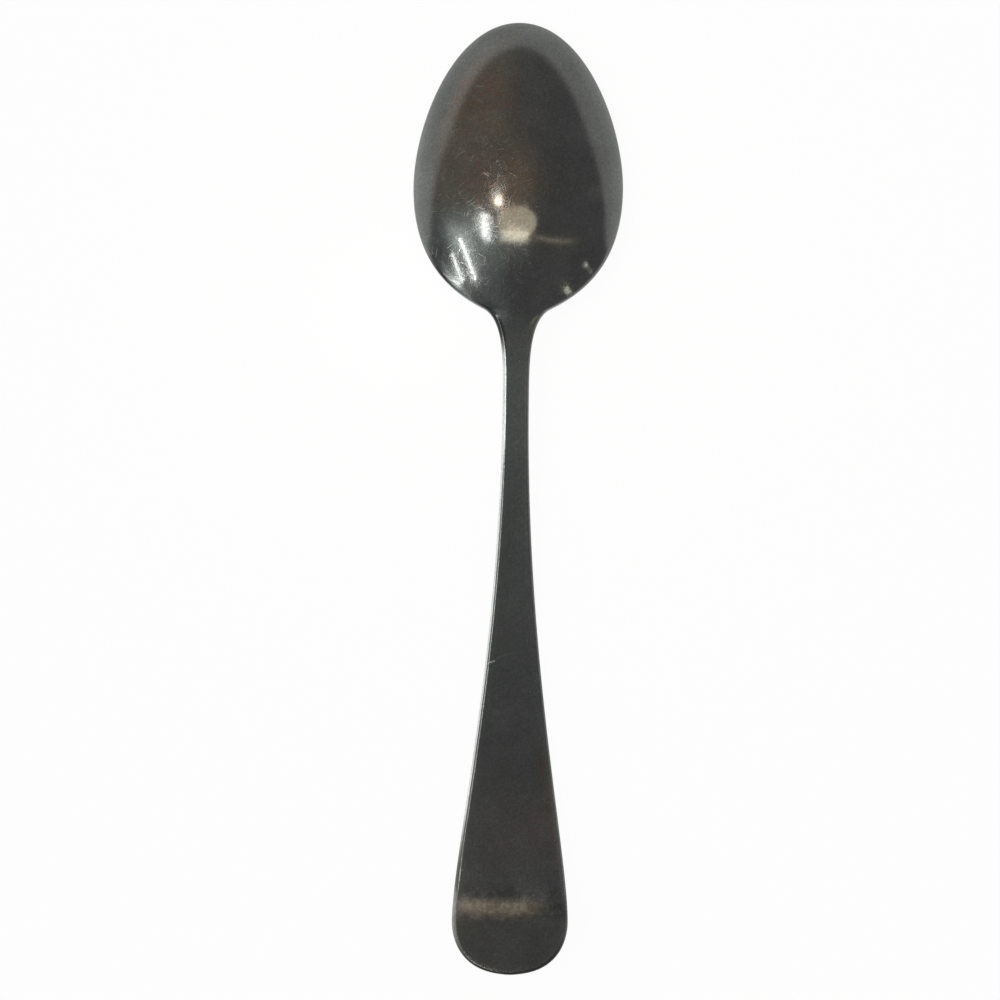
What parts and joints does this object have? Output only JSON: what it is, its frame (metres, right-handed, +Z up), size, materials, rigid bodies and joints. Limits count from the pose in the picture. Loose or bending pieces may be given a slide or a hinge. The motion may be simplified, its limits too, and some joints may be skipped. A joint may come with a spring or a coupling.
{
  "type": "dessert spoon",
  "caption": "Plain dessert spoon with an egg-shaped dished bowl, a slim arched stem and a broad blade with a rounded, turned end, lying face down.",
  "frame": {"origin": "on the table, below the middle of the spoon's box, with the spoon lying face down", "axes": "+Y along the spoon towards the tip of the bowl, +Z up from the table through the back of the bowl, +X across the spoon"},
  "size_m": [0.0386, 0.175, 0.0135],
  "materials": {
    "tarnished_metal": "dark tarnished plate over nickel silver, worn smooth, finely scratched",
    "braze": "silver braze, filed flush and polished with the neck"
  },
  "bodies": {
    "root": {"bowl": "tarnished_metal", "handle": "tarnished_metal", "braze_seam": "braze"}
  },
  "joints": []
}
